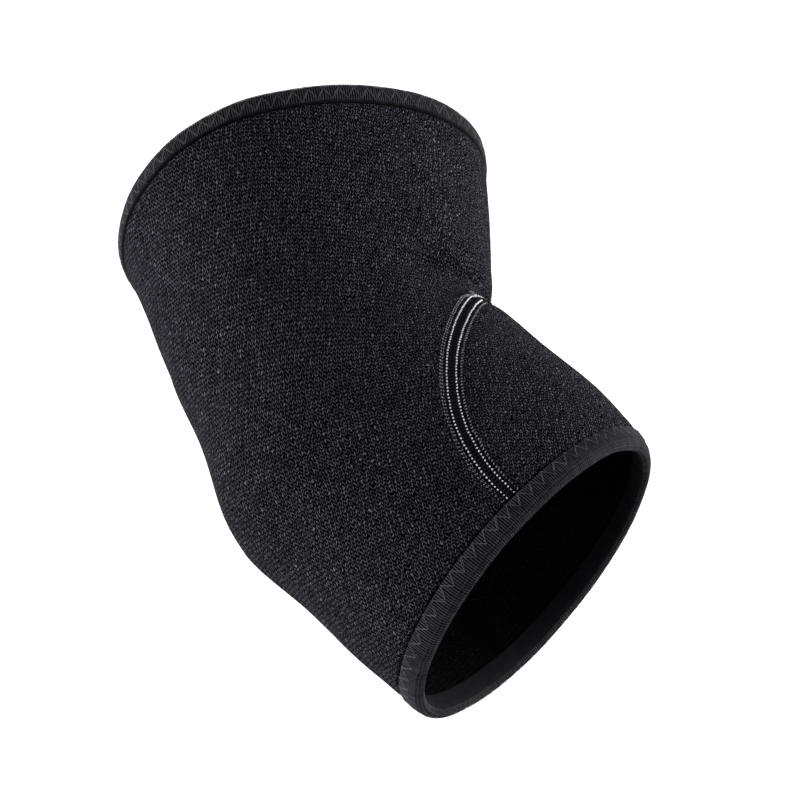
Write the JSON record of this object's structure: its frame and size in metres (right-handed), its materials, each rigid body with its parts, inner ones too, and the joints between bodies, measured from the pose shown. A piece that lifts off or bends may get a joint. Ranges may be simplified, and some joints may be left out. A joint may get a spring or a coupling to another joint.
{
  "type": "elbow brace",
  "caption": "Pull-on elbow brace: a bent sleeve of padded knit with a tongue-shaped panel at the crook, flatlock seams and bound edges.",
  "frame": {"origin": "the elbow's hinge centre, inside the sleeve, where the arm sits", "axes": "+Y up the upper arm, +X toward the crook of the elbow, +Z along the elbow's hinge axis to the outer side; the forearm leaves toward -Y and +X, bent 33 degrees"},
  "size_m": [0.1431, 0.1913, 0.1126],
  "materials": {
    "knit": "black padded jersey knit, matt",
    "binding": "black overlocked edge with a zigzag stitch",
    "thread": "pale grey flatlock thread on black looper thread"
  },
  "bodies": {
    "root": {"body_panel": "knit", "forearm_gusset": "knit", "gusset_seam": "thread", "closing_seam": "thread", "upper_hem": "binding", "forearm_hem": "binding"}
  },
  "joints": []
}
